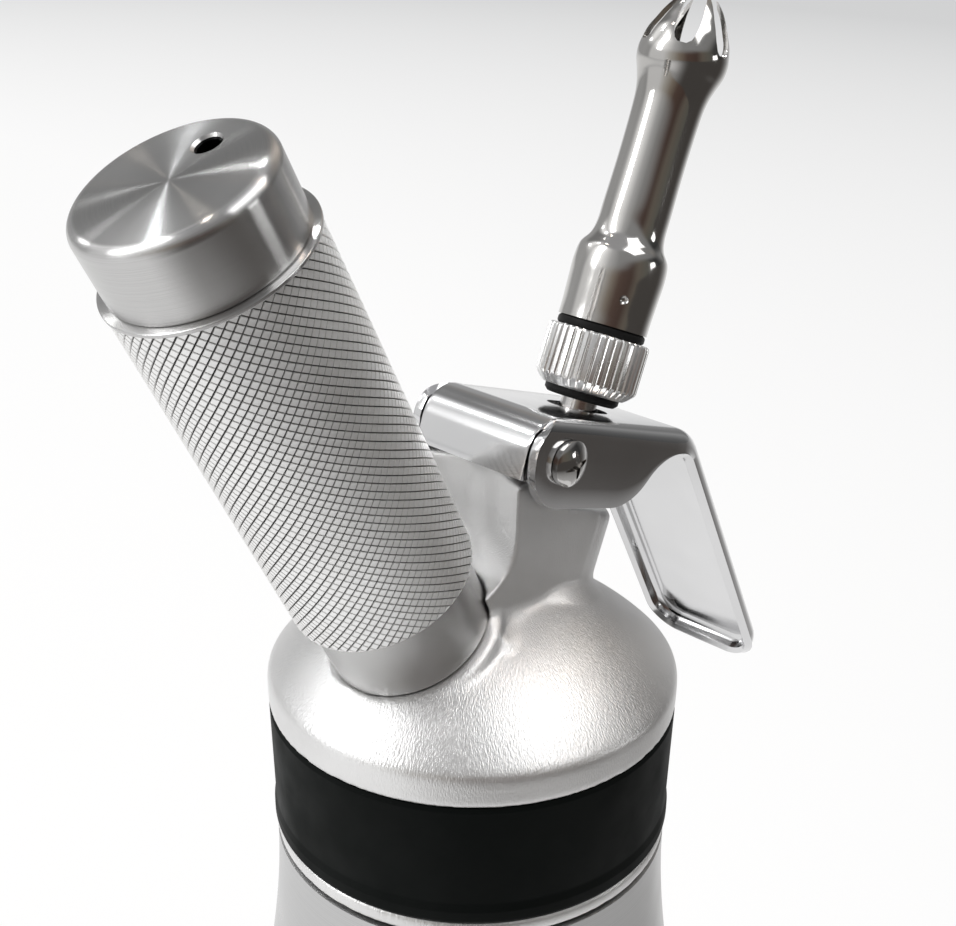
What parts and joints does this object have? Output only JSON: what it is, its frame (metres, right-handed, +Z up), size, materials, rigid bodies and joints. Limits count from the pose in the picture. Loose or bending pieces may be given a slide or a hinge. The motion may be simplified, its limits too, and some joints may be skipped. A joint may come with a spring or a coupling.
{
  "type": "whipped cream dispenser",
  "caption": "Aluminium whipped cream dispenser: round bottle, screw-on cast head with a knurled charger holder, press lever, sprung valve and tulip decorator tip.",
  "frame": {"origin": "centre of the bottle's flat base", "axes": "+Z up the bottle's axis, +X towards the lever's handle, XZ is the plane that holds the charger holder, the nozzle and the lever"},
  "size_m": [0.134, 0.08, 0.2814],
  "materials": {
    "bottle_aluminium": "satin",
    "cast_aluminium": "satin blasted",
    "white_silicone": "matte",
    "black_silicone": "matte",
    "turned_steel": "turned",
    "grey_rubber": "matte",
    "brass": "turned",
    "black_rubber": "matte",
    "polished_steel": "polished",
    "turned_aluminium": "turned",
    "knurled_aluminium": "diamond knurl",
    "polished_lever": "polished",
    "spring_steel": "drawn wire",
    "knurled_nut": "straight knurl",
    "polished_tip": "polished"
  },
  "bodies": {
    "bottle": {"bottle": "bottle_aluminium"},
    "head": {"head_casting": "cast_aluminium", "head_gasket": "white_silicone", "grip_band": "black_silicone", "charger_inlet": "turned_steel", "piercing_pin": "turned_steel", "inlet_gasket": "grey_rubber", "check_valve": "grey_rubber", "check_valve_plug": "brass", "valve_guide": "turned_steel", "guide_o_ring": "black_rubber", "hinge_pin": "polished_steel", "hinge_screw": "polished_steel"},
    "charger_holder": {"holder_body": "turned_aluminium", "grip_sleeve": "knurled_aluminium", "holder_cap": "turned_aluminium"},
    "lever": {"lever": "polished_lever"},
    "valve": {"valve_stem": "polished_steel", "valve_gasket": "grey_rubber", "valve_spring": "spring_steel"},
    "adapter": {"adapter_nut": "knurled_nut", "adapter_o_ring": "black_rubber"},
    "tip": {"decorator_tip": "polished_tip"}
  },
  "joints": [
    {"name": "head_unscrew", "type": "slide", "parent": "bottle", "child": "head", "axis": [0, 0, 1], "range_m": [0, 0.06]},
    {"name": "holder_unscrew", "type": "slide", "parent": "head", "child": "charger_holder", "axis": [-0.4509, 0, 0.8926], "range_m": [0, 0.07]},
    {"name": "lever_press", "type": "hinge", "parent": "head", "child": "lever", "pos_m": [0.0064, 0, 0.2177], "axis": [0, 1, 0], "range_deg": [0, 10], "stiffness_Nm_per_rad": 0.44, "springref_deg": -13.18},
    {"name": "valve_slide", "type": "slide", "parent": "head", "child": "valve", "axis": [-0.3939, 0, -0.9191], "range_m": [0, 0.00305], "deforming": ["valve_spring"]},
    {"name": "adapter_unscrew", "type": "slide", "parent": "valve", "child": "adapter", "axis": [0.3939, 0, 0.9191], "range_m": [0, 0.015]},
    {"name": "tip_unscrew", "type": "slide", "parent": "adapter", "child": "tip", "axis": [0.3939, 0, 0.9191], "range_m": [0, 0.02]}
  ],
  "couplings": [
    {"joint": "valve_slide", "follows": "lever_press", "m_per_rad": 0.0172}
  ]
}
